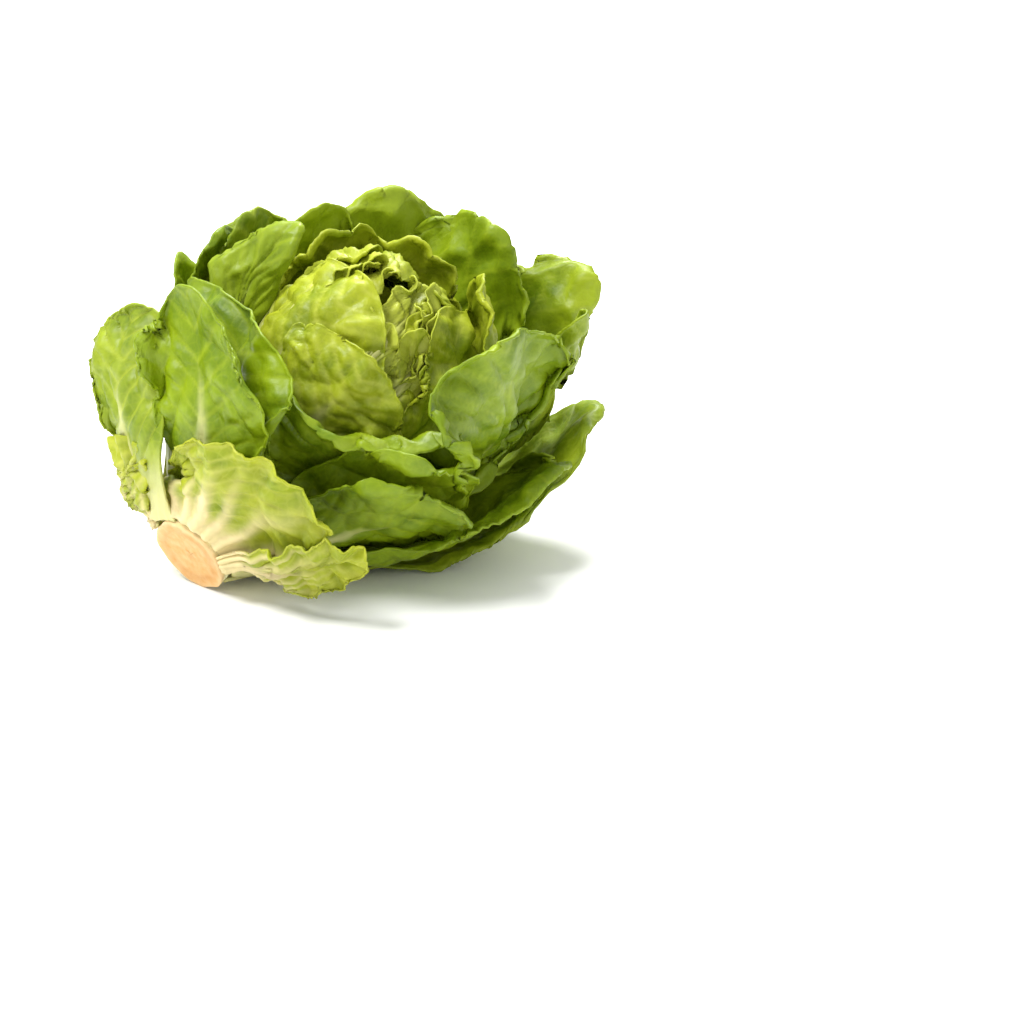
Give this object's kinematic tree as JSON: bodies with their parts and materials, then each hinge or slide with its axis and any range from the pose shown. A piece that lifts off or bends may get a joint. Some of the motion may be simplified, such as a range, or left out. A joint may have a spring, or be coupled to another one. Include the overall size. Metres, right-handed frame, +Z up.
{
  "type": "butterhead lettuce",
  "caption": "Head of butterhead lettuce: layered soft leaves cupped round a pale closed heart, lying tilted with its cut stem end low at one side.",
  "frame": {"origin": "on the surface that the head lies on, below the middle of its bounding box", "axes": "+Z up, +X to the side away from the cut stem and the longest extent, the open crown facing up and towards -Y"},
  "size_m": [0.2112, 0.1884, 0.1526],
  "materials": {
    "leaf_fresh": "satin, softly glossy yellow-green leaf with a blistered surface and paler veins",
    "leaf_deep": "satin, darker green leaf with a blistered surface",
    "leaf_ribbed": "satin, pale green leaf with white ribs near its foot",
    "heart": "satin, pale yellow-green crumpled inner leaves",
    "stem": "matte, cut pale tan face with a rough paler rim"
  },
  "bodies": {
    "root": {"leaf_nest_front": "leaf_fresh", "leaf_nest_left": "leaf_fresh", "leaf_nest_corner": "leaf_fresh", "leaf_nest_right": "leaf_fresh", "leaf_back_right": "leaf_fresh", "leaf_back_mid": "leaf_fresh", "leaf_back_left": "leaf_fresh", "leaf_front_low": "leaf_fresh", "leaf_front_left": "leaf_fresh", "leaf_left_fold": "leaf_fresh", "leaf_left_curl": "leaf_fresh", "leaf_front_under": "leaf_fresh", "leaf_right_low": "leaf_fresh", "leaf_puff_right": "leaf_deep", "leaf_left_high": "leaf_deep", "leaf_right_far": "leaf_deep", "leaf_left_puff": "leaf_deep", "leaf_right_side": "leaf_deep", "leaf_behind_right": "leaf_deep", "leaf_behind_left": "leaf_deep", "leaf_behind_low": "leaf_deep", "leaf_front_base": "leaf_ribbed", "leaf_left_low": "leaf_ribbed", "leaf_under": "leaf_ribbed", "heart": "heart", "stem": "stem"}
  },
  "joints": []
}
